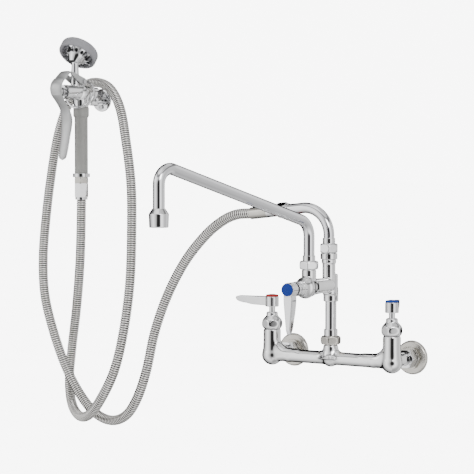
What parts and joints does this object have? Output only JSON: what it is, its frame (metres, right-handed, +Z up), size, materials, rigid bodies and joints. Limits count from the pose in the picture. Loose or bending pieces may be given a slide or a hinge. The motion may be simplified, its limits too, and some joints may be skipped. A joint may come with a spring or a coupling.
{
  "type": "pre-rinse faucet",
  "caption": "Wall-mounted kitchen pre-rinse unit: lever mixing valves, riser with swing nozzle, gooseneck outlet, steel hose and a squeeze spray valve hanging on a wall hook.",
  "frame": {"origin": "on the wall, midway between the two inlet axes", "axes": "+Z up, +X to the right as seen from the room, +Y into the wall"},
  "size_m": [0.69, 0.4448, 0.6225],
  "materials": {
    "body_chrome": "polished chrome on a cast brass body",
    "trim_chrome": "polished chrome",
    "pipe_chrome": "polished chrome tube",
    "lever_chrome": "polished chrome casting",
    "satin_nickel": "satin nickel, finely brushed",
    "hose_steel": "corrugated stainless steel",
    "screw_steel": "plain stainless steel",
    "brass": "machined brass",
    "ceramic": "ground ceramic",
    "black_rubber": "soft matt rubber",
    "bumper_rubber": "matt grey rubber",
    "grip_plastic": "matt grey plastic sleeve",
    "lever_coating": "smooth grey coating on a steel strip",
    "aerator_plastic": "moulded plastic",
    "index_red": "glossy red plastic",
    "index_blue": "glossy blue plastic"
  },
  "bodies": {
    "base": {"mixing_body": "body_chrome", "hot_wall_flange": "satin_nickel", "cold_wall_flange": "satin_nickel", "coupling_nuts": "trim_chrome", "inlet_seals": "black_rubber", "riser_nut": "satin_nickel", "riser_gland": "trim_chrome", "riser_pipe": "pipe_chrome", "addon_body": "body_chrome", "nozzle_nut": "trim_chrome", "nozzle_gland": "trim_chrome", "gooseneck_adapter": "body_chrome", "gooseneck_nut": "trim_chrome", "gooseneck_gland": "trim_chrome", "gooseneck_tube": "pipe_chrome", "hose_connector": "trim_chrome", "supply_ferrule": "satin_nickel", "hose": "hose_steel", "hook_plate": "trim_chrome", "hook_screws": "screw_steel", "hook_arm": "trim_chrome", "hot_bonnet": "trim_chrome", "hot_cartridge": "brass", "cold_bonnet": "trim_chrome", "cold_cartridge": "brass", "addon_bonnet": "trim_chrome", "addon_cartridge": "brass"},
    "hot_handle": {"hot_lever": "lever_chrome", "hot_lever_screw": "screw_steel", "hot_spindle": "trim_chrome", "hot_moving_disc": "ceramic", "hot_index": "index_red"},
    "cold_handle": {"cold_lever": "lever_chrome", "cold_lever_screw": "screw_steel", "cold_spindle": "trim_chrome", "cold_moving_disc": "ceramic", "cold_index": "index_blue"},
    "addon_handle": {"addon_lever": "lever_chrome", "addon_lever_screw": "screw_steel", "addon_spindle": "trim_chrome", "addon_moving_disc": "ceramic", "addon_button": "index_blue"},
    "swing_nozzle": {"nozzle_tube": "pipe_chrome", "nozzle_o_rings": "black_rubber", "nozzle_outlet": "trim_chrome", "aerator": "aerator_plastic"},
    "spray_valve": {"hose_coupling": "trim_chrome", "grip_nut": "satin_nickel", "grip_ring": "trim_chrome", "grip": "grip_plastic", "spray_body": "body_chrome", "seat_cap": "trim_chrome", "spray_head": "trim_chrome", "bumper": "bumper_rubber", "spray_face": "screw_steel", "lever_pin": "screw_steel", "return_spring": "screw_steel"},
    "spray_lever": {"spray_lever": "lever_coating"},
    "plunger": {"plunger": "screw_steel"},
    "hold_ring": {"hold_ring": "trim_chrome"}
  },
  "joints": [
    {"name": "hot_turn", "type": "hinge", "parent": "base", "child": "hot_handle", "pos_m": [-0.1016, -0.067, 0.07], "axis": [0, 0, 1], "range_deg": [0, 90]},
    {"name": "cold_turn", "type": "hinge", "parent": "base", "child": "cold_handle", "pos_m": [0.1016, -0.067, 0.07], "axis": [0, 0, 1], "range_deg": [-90, 0]},
    {"name": "addon_turn", "type": "hinge", "parent": "base", "child": "addon_handle", "pos_m": [0, -0.17, 0.108], "axis": [0, -1, 0], "range_deg": [0, 90]},
    {"name": "nozzle_swing", "type": "hinge", "parent": "base", "child": "swing_nozzle", "pos_m": [0, -0.131, 0.14], "axis": [0, 0, 1], "range_deg": [-75, 95]},
    {"name": "spray_lift", "type": "slide", "parent": "base", "child": "spray_valve", "axis": [0, 0, 1], "range_m": [0, 0.04]},
    {"name": "lever_squeeze", "type": "hinge", "parent": "spray_valve", "child": "spray_lever", "pos_m": [-0.471, -0.064, 0.418], "axis": [1, 0, 0], "range_deg": [0, 12], "stiffness_Nm_per_rad": 1.2, "springref_deg": -14.32},
    {"name": "plunger_push", "type": "slide", "parent": "spray_valve", "child": "plunger", "axis": [0, 1, 0], "range_m": [0, 0.0042]},
    {"name": "ring_swing", "type": "hinge", "parent": "spray_valve", "child": "hold_ring", "pos_m": [-0.471, -0.051, 0.4192], "axis": [0.9848, 0.1736, 0], "range_deg": [-15, 0]}
  ],
  "couplings": [
    {"joint": "plunger_push", "follows": "lever_squeeze", "m_per_rad": 0.0197}
  ]
}
